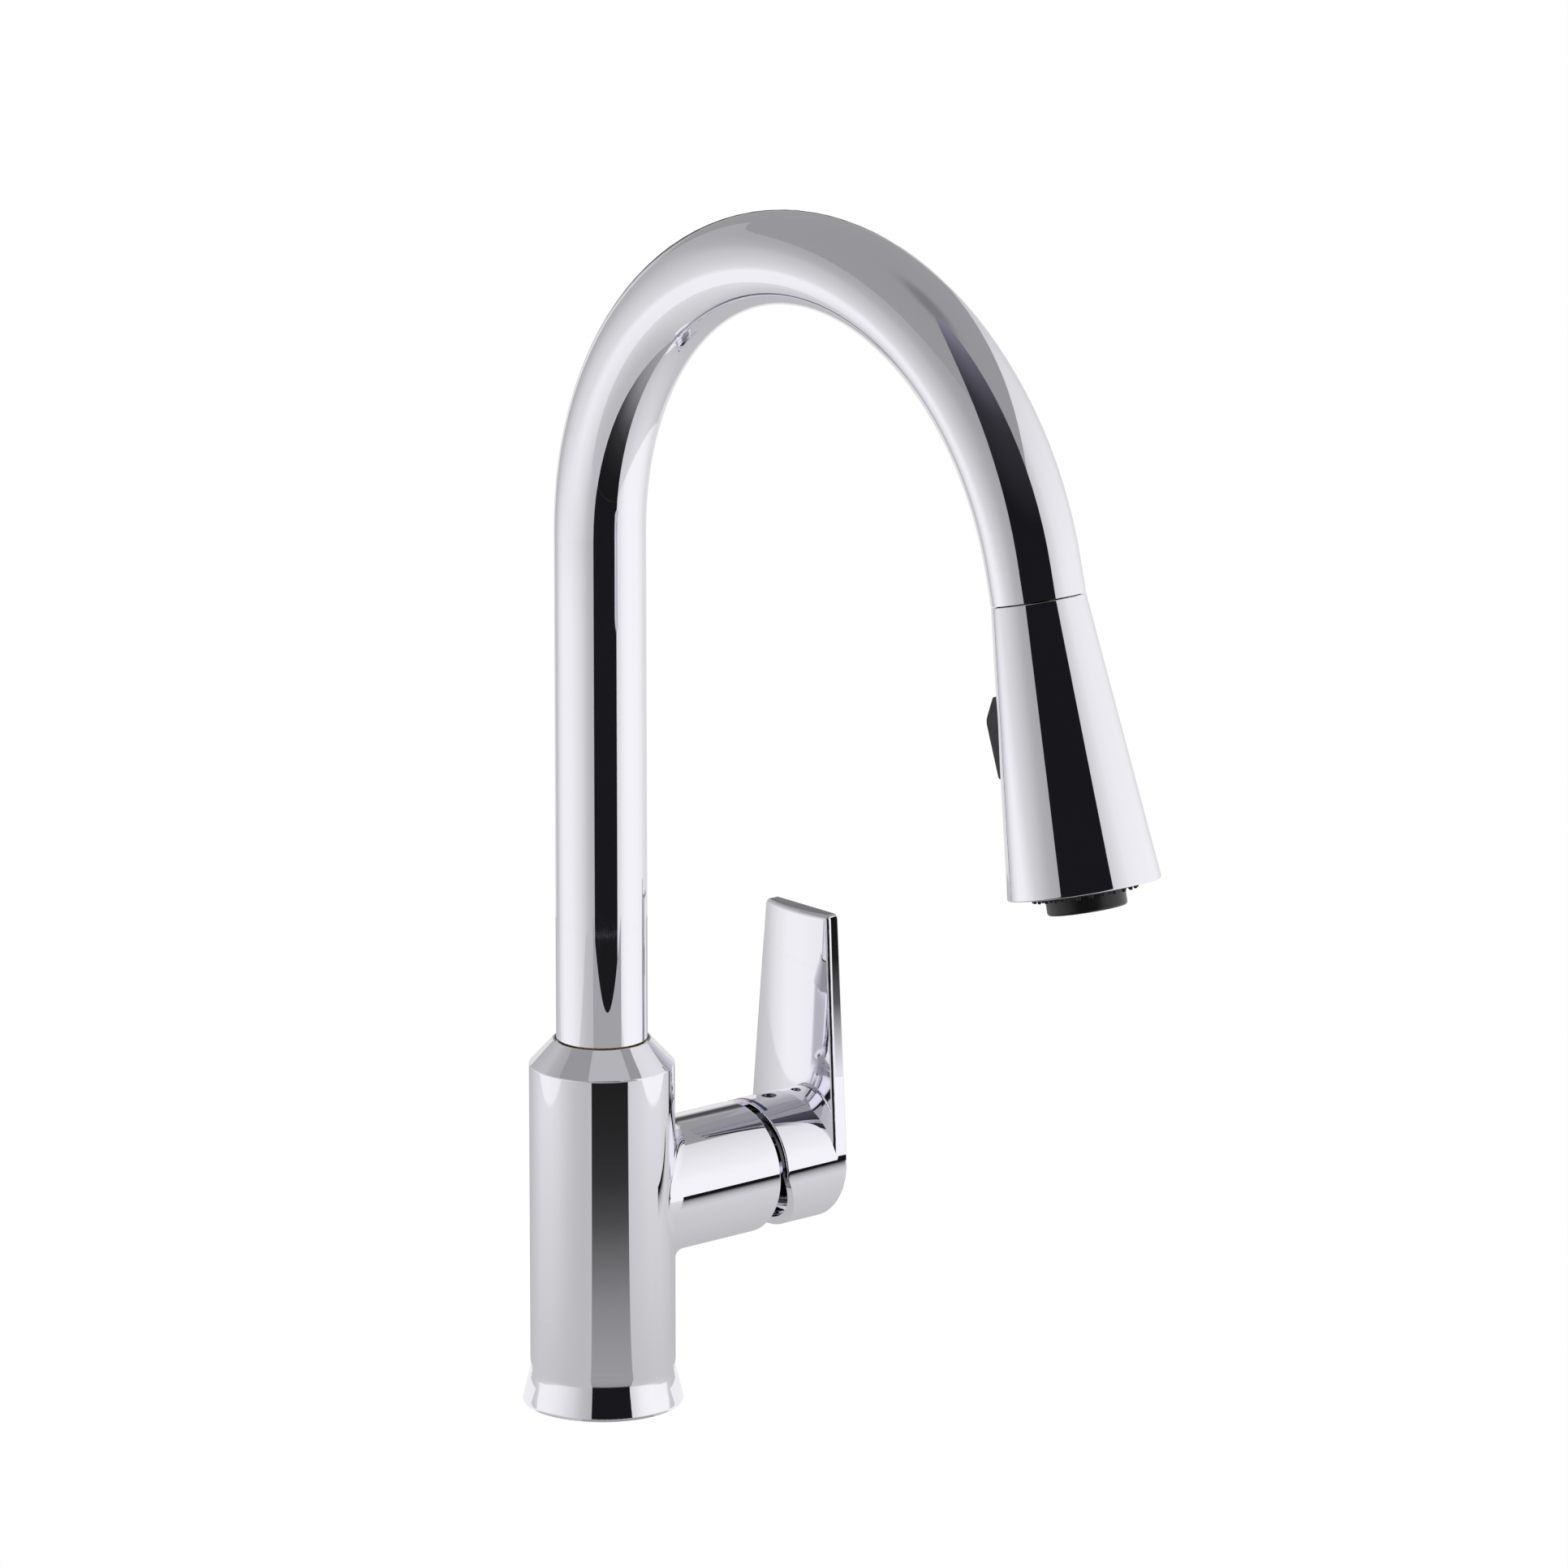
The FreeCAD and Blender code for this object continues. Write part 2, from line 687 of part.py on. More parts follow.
def make_head_waterway():
    """Inner body: inlet socket, diverter bore, lugs for the toggle pin and the lower flange."""
    solid = turned([
        (7.25, 1.0, 0),
        (10.6, 1.0, 0),
        (10.6, 14.5, 0),
        (9.2, 16.5, 0),
        (9.2, 60.0, 0),
        (19.2, 62.5, 0),
        (19.2, 66.0, 0),
        (7.0, 66.0, 0),
        (7.0, 62.0, 0),
        (5.6, 62.0, 0),
        (5.6, 26.0, 0),
        (4.6, 26.0, 0),
        (4.6, 25.0, 0),
        (6.0, 25.0, 0),
        (6.0, 13.8, 0),
        (7.25, 13.8, 0),
    ])
    lugs = []
    for side in (-1, 1):
        inner = side * 4.0
        outer = side * 6.5
        lug = box((min(inner, outer), -14.2, 40.4), (max(inner, outer), -6.5, 45.6))
        lugs.append(lug)
    solid = solid.fuse(lugs).cut(rod(5.6, 26.0, 62.0))
    solid = solid.cut(box((-3.8, -20, 38.0), (3.8, -3.0, 49.5)))
    pin_hole = rod_between(1.5, V(-8, TOGGLE_PIVOT_Y, TOGGLE_PIVOT_S), V(8, TOGGLE_PIVOT_Y, TOGGLE_PIVOT_S))
    return on_head(solid.cut(pin_hole))


def make_inlet_washer():
    return on_head(ring(7.1, 3.2, 12.0, 13.7, 0.3))


def make_check_valve():
    """Cartridge that stops back flow at the head's inlet."""
    return on_head(ring(5.9, 2.6, 14.0, 24.8, 0.4))


def make_toggle_pivot_pin():
    return on_head(rod_between(1.45, V(-6.4, TOGGLE_PIVOT_Y, TOGGLE_PIVOT_S), V(6.4, TOGGLE_PIVOT_Y, TOGGLE_PIVOT_S)))


def make_toggle_button():
    """Rocker with a bulge at its upper end, a hub on the pin and a finger in the diverter's groove."""
    cover = turned([
        (16.1, 28.2, 0),
        (19.1, 28.2, 0),
        (23.3, 35.5, 5.0),
        (21.9, 54.2, 1.0),
        (16.1, 54.2, 0),
    ])
    cover = cover.common(box((-TOGGLE_HALF, -30, 27), (TOGGLE_HALF, -5, 55)))
    sweep = Part.makeCylinder(
        TOGGLE_SWEEP_R, 40, V(-20, TOGGLE_PIVOT_Y, TOGGLE_PIVOT_S), V(1, 0, 0))
    cover = cover.common(sweep)
    hub = box((-3.4, -17.5, 41.0), (3.4, -11.0, 45.0))
    arm = box((-1.4, -12.0, 42.1), (1.4, TOGGLE_PIVOT_Y + TOGGLE_ARM, 43.9))
    tip = V(0, TOGGLE_PIVOT_Y + TOGGLE_ARM, TOGGLE_PIVOT_S)
    finger = rod_between(1.3, tip + V(-1.4, 0, 0), tip + V(1.4, 0, 0))
    pin_hole = rod_between(1.5, V(-8, TOGGLE_PIVOT_Y, TOGGLE_PIVOT_S), V(8, TOGGLE_PIVOT_Y, TOGGLE_PIVOT_S))
    return on_head(cover.fuse([hub, arm, finger]).cut(pin_hole))


def make_diverter_spool():
    """Sliding spool that sends the water to the spray or to the stream."""
    return on_head(turned([
        (0, 30.0, 0),
        (4.6, 30.0, 0.4),
        (4.6, 32.0, 0),
        (3.6, 32.0, 0),
        (3.6, 34.0, 0),
        (4.6, 34.0, 0),
        (4.6, 41.5, 0),
        (1.9, 41.5, 0),
        (1.9, 44.5, 0),
        (4.6, 44.5, 0),
        (4.6, 52.0, 0),
        (3.6, 52.0, 0),
        (3.6, 54.0, 0),
        (4.6, 54.0, 0),
        (4.6, 57.0, 0.4),
        (0, 57.0, 0),
    ]))


def make_diverter_o_rings():
    """Seals in the spool's two grooves."""
    upper = ring(5.45, 3.65, 32.1, 33.9, 0.7)
    lower = ring(5.45, 3.65, 52.1, 53.9, 0.7)
    return on_head(Part.makeCompound([upper, lower]))


def make_spray_manifold():
    """Inner cup that feeds the nozzles around the central stream passage."""
    solid = turned([
        (8.0, 66.3, 0),
        (19.0, 66.3, 0),
        (20.6, 84.0, 0),
        (18.8, 84.0, 0),
        (17.4, 69.0, 0),
        (12.4, 69.0, 0),
        (12.4, 79.0, 0),
        (10.0, 79.0, 0),
        (10.0, 69.0, 0),
        (8.0, 69.0, 0),
    ])
    return on_head(solid)


def make_face_seal():
    return on_head(ring(20.2, 18.9, 84.1, 85.9, 0.5))


def make_nozzle_face():
    """Soft face plate with two rings of nozzle tips."""
    plate = turned([
        (12.85, 85.0, 0),
        (17.7, 85.0, 0),
        (FACE_R, 92.7, 0.6),
        (12.85, 92.7, 0),
    ])
    flange = ring(20.4, 16.0, 86.0, 87.4)
    solid = plate.fuse(flange).removeSplitter()
    tips = []
    for pitch_r, count in ((14.4, 20), (16.3, 26)):
        for index in range(count):
            turn = 2 * math.pi * index / count
            foot = V(pitch_r * math.cos(turn), pitch_r * math.sin(turn), 92.2)
            tips.append(Part.makeCone(0.75, 0.5, 1.5, foot))
    return on_head(solid.fuse(tips))


def make_face_ring():
    """Ring that holds the face plate in the shell."""
    return on_head(turned([
        (FACE_R + 0.1, 87.5, 0),
        (22.0, 87.5, 0),
        (22.0, 91.5, 0.3),
        (FACE_R + 0.1, 91.5, 0.3),
    ]))


def make_aerator_housing():
    return on_head(turned([
        (10.9, 79.2, 0),
        (AERATOR_R, 79.2, 0),
        (AERATOR_R, 98.4, 1.0),
        (10.9, 98.4, 0.3),
    ]))


def make_aerator_insert():
    """Honeycomb stream former."""
    solid = rod(10.85, 84.0, 95.3)
    pitch = 3.4
    holes = []
    for column in range(-2, 3):
        for row in range(-2, 3):
            x = pitch * (column + 0.5 * (row % 2))
            y = pitch * 0.866 * row
            if math.hypot(x, y) < 8.4:
                holes.append(Part.makeCylinder(1.3, 9, V(x, y, 89.0)))
    return on_head(solid.cut(holes))


PARTS = {
    "body_casting": make_body_casting,
    "base_gasket": make_base_gasket,
    "mounting_shank": make_mounting_shank,
    "spout_snap_ring": make_spout_snap_ring,
    "cartridge_seals": make_cartridge_seals,
    "cartridge_base": make_cartridge_base,
    "fixed_ceramic_disc": make_fixed_ceramic_disc,
    "moving_ceramic_disc": make_moving_ceramic_disc,
    "disc_carrier": make_disc_carrier,
    "cartridge_housing": make_cartridge_housing,
    "cartridge_rotor": make_cartridge_rotor,
    "stem_pin": make_stem_pin,
    "cartridge_stem": make_cartridge_stem,
    "cartridge_nut": make_cartridge_nut,
    "bonnet": make_bonnet,
    "handle_lever": make_handle_lever,
    "handle_set_screw": make_handle_set_screw,
    "set_screw_plug": make_set_screw_plug,
    "hot_mark": make_hot_mark,
    "cold_mark": make_cold_mark,
    "spout_tube": make_spout_tube,
    "spout_sleeve": make_spout_sleeve,
    "upper_glide_ring": make_upper_glide_ring,
    "lower_glide_ring": make_lower_glide_ring,
    "spout_o_ring": make_spout_o_ring,
    "docking_collar": make_docking_collar,
    "docking_magnet": make_docking_magnet,
    "spray_hose": make_spray_hose,
    "hose_coupling": make_hose_coupling,
    "hose_ferrule": make_hose_ferrule,
    "swivel_nut": make_swivel_nut,
    "head_shell": make_head_shell,
    "docking_plate": make_docking_plate,
    "head_waterway": make_head_waterway,
    "inlet_washer": make_inlet_washer,
    "check_valve": make_check_valve,
    "toggle_pivot_pin": make_toggle_pivot_pin,
    "toggle_button": make_toggle_button,
    "diverter_spool": make_diverter_spool,
    "diverter_o_rings": make_diverter_o_rings,
    "spray_manifold": make_spray_manifold,
    "face_seal": make_face_seal,
    "nozzle_face": make_nozzle_face,
    "face_ring": make_face_ring,
    "aerator_housing": make_aerator_housing,
    "aerator_insert": make_aerator_insert,
}


def main():
    os.makedirs("parts", exist_ok=True)
    for name, make in PARTS.items():
        shape = make()
        print(name, "valid" if shape.isValid() else "INVALID", len(shape.Solids), round(shape.Volume, 1))
        shape.exportStep("parts/" + name + ".step")


main()
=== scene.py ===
"""Looks of the pull-down kitchen faucet: camera, studio, finishes, and the pieces finer than the CAD."""

import json
import math

import bpy
from mathutils import Matrix, Vector


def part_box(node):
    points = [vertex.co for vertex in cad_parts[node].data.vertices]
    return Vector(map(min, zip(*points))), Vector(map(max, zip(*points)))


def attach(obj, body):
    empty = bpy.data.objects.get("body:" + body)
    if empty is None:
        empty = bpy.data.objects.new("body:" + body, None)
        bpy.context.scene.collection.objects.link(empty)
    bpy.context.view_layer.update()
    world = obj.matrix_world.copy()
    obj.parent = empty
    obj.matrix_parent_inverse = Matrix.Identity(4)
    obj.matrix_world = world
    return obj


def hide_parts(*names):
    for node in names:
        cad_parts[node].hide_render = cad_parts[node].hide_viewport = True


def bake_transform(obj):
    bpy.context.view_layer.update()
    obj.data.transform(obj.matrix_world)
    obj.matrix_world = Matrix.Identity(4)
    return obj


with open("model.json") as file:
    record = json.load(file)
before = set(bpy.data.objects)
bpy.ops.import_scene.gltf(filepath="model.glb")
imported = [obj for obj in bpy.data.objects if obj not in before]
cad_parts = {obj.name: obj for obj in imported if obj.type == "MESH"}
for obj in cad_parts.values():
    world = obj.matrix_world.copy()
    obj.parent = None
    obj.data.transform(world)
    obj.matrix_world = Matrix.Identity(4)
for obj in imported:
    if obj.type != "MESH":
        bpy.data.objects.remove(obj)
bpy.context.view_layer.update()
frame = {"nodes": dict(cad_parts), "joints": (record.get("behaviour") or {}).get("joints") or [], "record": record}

NODES = frame["nodes"]

# Camera fitted to the photograph.
CAMERA_AT = Vector((-2.49067, -2.96557, 1.21274))
CAMERA_RIGHT = Vector((0.75574, -0.65487, 0.0))
CAMERA_UP = Vector((0.16417, 0.18945, 0.96807))
CAMERA_BACK = Vector((-0.63396, -0.73161, 0.25069))
LENS = 281.4
SENSOR = 36.0

# The studio is described around the spout's axis, with azimuth 0 towards the camera.
TO_CAMERA = Vector((-0.65487, -0.75574, 0.0))
WALL_R = 0.615
PANEL_SIDE = 0.385
FLAG_LEFT = -15.5
FLAG_RIGHT = 41.5
FLAG_COLOUR = (0.99, 0.96, 1.17)
FLAG_FADE = 0.6
SIDE_FADE = 0.006
TABLE_REACH = 0.62
RIM_POINTS = 60
FOOT_GREY = 236
DOME_R = 30
MIRROR = 0.93

# Cards close to the faucet: radius around the spout's axis and height, in metres.
NECK_CARD_R = 0.045
NECK_CARD_LOW = 0.112
NECK_CARD_TOP = 0.1282
FOOT_CARD_R = 0.036
FOOT_CARD_TOP = 0.0064
LINE_CARD_Y = -0.040
LINE_CARD_LOW = 0.0560
LINE_CARD_HIGH = 0.0682


def light(grey):
    """Light that the plating, which gives back the share MIRROR, shows as this grey of 255."""
    part = grey / 255
    linear = part / 12.92 if part <= 0.04045 else ((part + 0.055) / 1.055) ** 2.4
    return linear / MIRROR


# Spray hose: its line as the CAD has it, and its braid. HOSE_SHORT is how far it stops before the arch's end.
SIDEWAYS = Vector((1, 0, 0))
ARC_Z = 0.295
ARC_R = 0.1065
HOSE_RISE = ARC_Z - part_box("spray_hose")[0].z
HOSE_SHORT = 0.0067
HOSE_END_TURN = math.radians(166.0) - HOSE_SHORT / ARC_R
HOSE_R = 0.0056
HOSE_BORE_R = 0.0034
HOSE_SIDES = 48
YARNS = 8
YARN_STEP = 0.0033
YARN_DEPTH = 0.00022
RING_STEP = 0.0011
BORE_EVERY = 8
DRAW_LENGTH = 0.012
HALVINGS = 40
PULL = next(joint["range_m"][1] for joint in frame["joints"] if joint["name"] == "head_pull")

# Thread of the shank below the deck.
SHANK_BORE_R = 0.015
THREAD_PITCH = 0.0015
THREAD_DEPTH = 0.0007
THREAD_ROWS = 8
THREAD_SIDES = 48
RELIEF_HALF = 0.001

SHARP_ANGLE = math.radians(50)
GRAIN_DEPTH = 0.0001


class Graph:
    """Short calls for building a node tree."""

    def __init__(self, tree):
        self.tree = tree
        tree.nodes.clear()

    def add(self, kind, inputs=None, **settings):
        node = self.tree.nodes.new(kind)
        for name, value in settings.items():
            setattr(node, name, value)
        for name, value in (inputs or {}).items():
            if isinstance(value, bpy.types.NodeSocket):
                self.tree.links.new(value, node.inputs[name])
            else:
                node.inputs[name].default_value = value
        return node

    def calc(self, operation, *values, clamp=False):
        found = dict(enumerate(values))
        return self.add("ShaderNodeMath", found, operation=operation, use_clamp=clamp).outputs[0]

    def dot(self, vector, axis):
        node = self.add("ShaderNodeVectorMath", {0: vector, 1: axis}, operation="DOT_PRODUCT")
        return node.outputs["Value"]

    def ramp(self, value, low, high, stops):
        """Grey that follows stops of (position, grey) as value runs from low to high."""
        place = self.add(
            "ShaderNodeMapRange",
            {"Value": value, "From Min": low, "From Max": high},
        ).outputs["Result"]
        node = self.add("ShaderNodeValToRGB", {0: place})
        node.color_ramp.interpolation = "LINEAR"
        marks = node.color_ramp.elements
        while len(marks) < len(stops):
            marks.new(1.0)
        for mark, (position, grey) in zip(marks, stops):
            mark.position = (position - low) / (high - low)
            mark.color = (grey, grey, grey, 1)
        return node.outputs["Color"]

    def blend(self, share, first, second):
        node = self.add("ShaderNodeMix", {0: share, 2: first, 3: second}, data_type="FLOAT")
        return node.outputs[0]

    def behind(self):
        """1 on the back of a face, 0 on its front."""
        return self.add("ShaderNodeNewGeometry").outputs["Backfacing"]


def linear_stops(pairs):
    """Stops of (position, grey of 255) as stops of light."""
    return [(position, light(grey)) for position, grey in pairs]


# ---------------------------------------------------------------- studio


def studio_place(graph):
    """Azimuth in degrees from the camera, radius, height and distance to the right of the shaded point."""
    position = graph.add("ShaderNodeNewGeometry").outputs["Position"]
    side = graph.dot(position, CAMERA_RIGHT)
    ahead = graph.dot(position, TO_CAMERA)
    azimuth = graph.calc("MULTIPLY", graph.calc("ARCTAN2", side, ahead), 180 / math.pi)
    squares = graph.calc("ADD", graph.calc("MULTIPLY", side, side), graph.calc("MULTIPLY", ahead, ahead))
    radius = graph.calc("SQRT", squares)
    height = graph.add("ShaderNodeSeparateXYZ", {0: position}).outputs["Z"]
    return azimuth, radius, height, side


def glow_material(name, build, colour=(1.0, 1.0, 1.0)):
    """Emission. build(graph) gives its strength and its cover, which is None where nothing is clear."""
    material = bpy.data.materials.new(name)
    material.use_nodes = True
    material.cycles.emission_sampling = "NONE"
    graph = Graph(material.node_tree)
    strength, cover = build(graph)
    glow = graph.add("ShaderNodeEmission", {"Color": (*colour, 1), "Strength": strength}).outputs[0]
    if cover is not None:
        clear = graph.add("ShaderNodeBsdfTransparent").outputs[0]
        glow = graph.add("ShaderNodeMixShader", {0: cover, 1: clear, 2: glow}).outputs[0]
    graph.add("ShaderNodeOutputMaterial", {"Surface": glow})
    return material


# Grey of the wall's foot by azimuth. The first 11 stops are the left softbox, the others the right one.
LEFT_STOPS = 11
PANEL_LOW = [
    (-180, 180), (-150, 178), (-135, 197), (-120, 227), (-105, 240), (-90, 240), (-75, 236), (-60, 227),
    (-45, 213), (-30, 188), (-16, 178), (42, 214), (50, 226), (60, 240), (75, 245), (105, 243),
    (120, 236), (135, 222), (150, 214), (180, 178),
]


def left_glow(graph):
    azimuth, _, height, _ = studio_place(graph)
    low = graph.ramp(azimuth, -180, 180, linear_stops(PANEL_LOW[:LEFT_STOPS]))
    high = graph.ramp(azimuth, -180, 0, linear_stops([(-180, 168), (-60, 167), (-30, 160), (-16, 157)]))
    fade = graph.ramp(height, 0, 0.8, [
        (0, 1), (0.12, 1), (0.2, 0.67), (0.3, 0.53), (0.4, 0.4),
        (0.5, 0.3), (0.6, 0.11), (0.72, 0.02), (0.8, 0),
    ])
    return graph.blend(fade, high, low), None


def right_glow(graph):
    azimuth, _, height, _ = studio_place(graph)
    low = graph.ramp(azimuth, -180, 180, linear_stops(PANEL_LOW[LEFT_STOPS:]))
    fade = graph.ramp(height, 0, 1, [(0, 1), (0.2, 1), (0.3, 0.95), (0.5, 0.88), (0.7, 0.81), (1, 0.75)])
    return graph.calc("MULTIPLY", low, fade), None


def flag_glow(graph):
    _, _, height, _ = studio_place(graph)
    share = graph.calc("DIVIDE", height, graph.calc("ADD", height, 0.6))
    stops = [
        (0, 24), (0.45, 24), (0.5, 37), (0.571, 48), (0.6, 56), (0.625, 68),
        (0.667, 83), (0.7, 92), (0.739, 102), (0.769, 111), (0.833, 122), (0.9, 130),
    ]
    return graph.ramp(share, 0, 1, linear_stops(stops)), None


def back_glow(graph):
    azimuth, _, height, _ = studio_place(graph)
    stops = [(0, 222), (0.22, 228), (0.28, 160), (0.32, 70), (0.41, 80), (0.47, 164), (0.55, 168)]
    band = graph.ramp(height, 0, 0.6, linear_stops(stops))
    side = graph.ramp(height, 0, 0.6, linear_stops([(0, 216), (0.3, 226), (0.42, 200), (0.5, 170)]))
    middle = graph.ramp(graph.calc("ABSOLUTE", azimuth), 150, 180, [(160, 0), (170, 1), (180, 1)])
    return graph.blend(middle, side, band), None


def table_glow(graph):
    azimuth, radius, _, side = studio_place(graph)
    stripe = graph.ramp(radius, 0, TABLE_REACH, linear_stops([
        (0, 158), (0.05, 156), (0.1, 148), (0.15, 134), (0.2, 108),
        (0.25, 75), (0.3, 50), (0.36, 38), (0.45, 27), (0.6, 24),
    ]))
    near = graph.ramp(radius, 0, TABLE_REACH, linear_stops([
        (0, 193), (0.05, 196), (0.1, 200), (0.15, 205), (0.2, 209),
        (0.25, 212), (0.3, 216), (0.38, 222), (0.6, 224),
    ]))
    width = graph.ramp(azimuth, -180, 180, [
        (-180, 0), (-150, 0.05), (-135, 0.35), (-120, 0.68), (-105, 1), (-85, 1),
        (-70, 0.8), (-55, 0.42), (-40, 0.12), (-25, 0),
        (42, 0.5), (60, 0.72), (78, 0.95), (100, 0.95), (120, 0.6), (140, 0.2), (165, 0),
    ])
    open_side = graph.blend(width, light(185), near)
    panel = graph.ramp(azimuth, -180, 180, linear_stops(PANEL_LOW))
    past = graph.calc("SUBTRACT", graph.calc("ABSOLUTE", side), PANEL_SIDE - SIDE_FADE / 2)
    open_side = graph.blend(graph.calc("DIVIDE", past, SIDE_FADE, clamp=True), open_side, panel)
    right_of = graph.calc("DIVIDE", graph.calc("SUBTRACT", azimuth, FLAG_LEFT), FLAG_FADE, clamp=True)
    left_of = graph.calc("DIVIDE", graph.calc("SUBTRACT", FLAG_RIGHT, azimuth), FLAG_FADE, clamp=True)
    foot = graph.ramp(radius, 0, TABLE_REACH, [(0.050, 1), (0.055, 0)])
    aside = graph.ramp(graph.calc("ABSOLUTE", azimuth), 0, 180, [(54, 0), (60, 1)])
    open_side = graph.blend(graph.calc("MULTIPLY", foot, aside), open_side, light(FOOT_GREY))
    return graph.blend(graph.calc("MULTIPLY", right_of, left_of), open_side, stripe), None


def seen_only_in_reflections(piece):
    piece.visible_camera = False
    piece.visible_shadow = False
    piece.visible_volume_scatter = False
    return piece


def seen_only_by_camera(piece):
    piece.visible_diffuse = False
    piece.visible_glossy = False
    piece.visible_transmission = False
    piece.visible_shadow = False
    piece.visible_volume_scatter = False
    return piece


def mesh_piece(name, points, faces, material, smooth=False):
    mesh = bpy.data.meshes.new(name)
    mesh.from_pydata([tuple(p) for p in points], [], faces)
    mesh.materials.append(material)
    if smooth:
        mesh.shade_smooth()
    piece = bpy.data.objects.new(name, mesh)
    bpy.context.scene.collection.objects.link(piece)
    return piece


def around(azimuth, radius, height):
    """Point at this azimuth from the camera's direction, radius and height."""
    turn = math.radians(azimuth)
    across = CAMERA_RIGHT * (math.sin(turn) * radius)
    return across + TO_CAMERA * (math.cos(turn) * radius) + Vector((0, 0, height))


def curved_panel(name, start, end, low, high, glow):
    """Strip from azimuth start to end. low(azimuth) and high(azimuth) give its edges as (radius, height)."""
    degrees_a_step = 3
    steps = max(2, int((end - start) / degrees_a_step))
    turns = [start + (end - start) * i / steps for i in range(steps + 1)]
    points = [around(a, *low(a)) for a in turns] + [around(a, *high(a)) for a in turns]
    faces = [(i, i + 1, i + steps + 2, i + steps + 1) for i in range(steps)]
    return seen_only_in_reflections(mesh_piece(name, points, faces, glow))


def wall_panel(name, start, end, top, build, colour=(1.0, 1.0, 1.0)):
    """Part of the studio's round wall. top(azimuth) is its height."""
    glow = glow_material(name + "_glow", build, colour)
    return curved_panel(name, start, end, lambda a: (WALL_R, 0), lambda a: (WALL_R, top(a)), glow)


def make_studio():
    wall_panel("left_softbox", -150, FLAG_LEFT, lambda a: 0.8, left_glow)
    wall_panel("right_softbox", FLAG_RIGHT, 150, lambda a: 0.86 - 0.36 * ((a - 88) / 62) ** 2, right_glow)
    wall_panel("dark_flag", FLAG_LEFT, FLAG_RIGHT, lambda a: 5.0, flag_glow, FLAG_COLOUR)
    wall_panel("back_panel", 150, 210, lambda a: 0.5, back_glow)
    rim = [around(360 * i / RIM_POINTS, WALL_R, 0) for i in range(RIM_POINTS)]
    table = mesh_piece("table_top", rim, [tuple(range(RIM_POINTS))], glow_material("table_glow", table_glow))
    seen_only_in_reflections(table)


def make_line_card():
    """Dark edge under the right softbox, which the side valve mirrors as one thin line."""

    def build(graph):
        _, _, height, _ = studio_place(graph)
        cover = graph.ramp(height, 0.050, 0.070, [
            (LINE_CARD_LOW, 0), (0.0600, 0.18), (0.0630, 0.5), (0.0655, 1), (LINE_CARD_HIGH, 1),
        ])
        return light(18), cover

    points = [
        (0.031, LINE_CARD_Y, LINE_CARD_LOW), (0.110, LINE_CARD_Y, LINE_CARD_LOW),
        (0.106, LINE_CARD_Y, LINE_CARD_HIGH), (0.031, LINE_CARD_Y, LINE_CARD_HIGH),
    ]
    card = mesh_piece("line_card", points, [(0, 1, 2, 3)], glow_material("line_glow", build))
    seen_only_in_reflections(card)


def make_neck_cards():
    """Grey cards close to the body's top, which the shoulder and the foot of the spout mirror."""

    def shade(grey):
        """Grey on the side that faces down and in, clear on the other."""

        def build(graph):
            return light(grey), graph.behind()

        return build

    def neck_top(azimuth):
        return NECK_CARD_R, NECK_CARD_TOP + 0.029 * (abs(azimuth - 13) / 28) ** 2

    neck = glow_material("neck_glow", shade(161))
    curved_panel("neck_card", -17, 43, lambda a: (NECK_CARD_R, NECK_CARD_LOW), neck_top, neck)
    shoulder = glow_material("shoulder_glow", shade(180))
    curved_panel("shoulder_card", -22, 48, lambda a: (0.044, 0.1548), lambda a: (0.024, 0.160), shoulder)


def make_foot_cards():
    """Low white cards around the sides and back of the foot, which the flare mirrors."""

    def build(graph):
        return light(FOOT_GREY), graph.behind()

    glow = glow_material("foot_glow", build)
    low, high = (FOOT_CARD_R, 0), (FOOT_CARD_R, FOOT_CARD_TOP)
    for name, start, end in (("foot_card_left", -176, -84), ("foot_card_right", 84, 176)):
        curved_panel(name, start, end, lambda a: low, lambda a: high, glow)


def make_lever_card():
    """Dark strip just off the lever's front edge, which that narrow edge mirrors."""

    def build(graph):
        _, _, height, _ = studio_place(graph)
        stops = linear_stops([(0.100, 226), (0.109, 190), (0.123, 90), (0.138, 30), (0.153, 18)])
        return graph.ramp(height, 0.090, 0.160, stops), graph.behind()

    points = [
        (0.08809, -0.02482, 0.098), (0.09101, -0.02238, 0.098),
        (0.09216, -0.01808, 0.157), (0.08924, -0.02052, 0.157),
    ]
    card = mesh_piece("lever_card", points, [(0, 1, 2, 3)], glow_material("lever_glow", build))
    seen_only_in_reflections(card)


def make_backdrop():
    """White deck and sink front, seen by the camera from above and from the front, and a white dome."""

    def white(graph):
        return 1.0, None

    def white_front(graph):
        return 1.0, graph.calc("SUBTRACT", 1.0, graph.behind())

    half, back_y, edge_y, deck_z, low_z = 0.36, 0.34, -0.15, -0.0005, -0.1
    points = [
        (-half, back_y, deck_z), (-half, edge_y, deck_z), (half, edge_y, deck_z), (half, back_y, deck_z),
        (-half, edge_y, low_z), (half, edge_y, low_z),
    ]
    faces = [(0, 1, 2, 3), (1, 4, 5, 2)]
    seen_only_by_camera(mesh_piece("deck", points, faces, glow_material("white_deck", white_front)))
    bpy.ops.mesh.primitive_uv_sphere_add(segments=48, ring_count=24, radius=DOME_R)
    dome = bpy.context.object
    dome.name = "dome"
    dome.data.materials.append(glow_material("white_paper", white))
    seen_only_by_camera(dome)


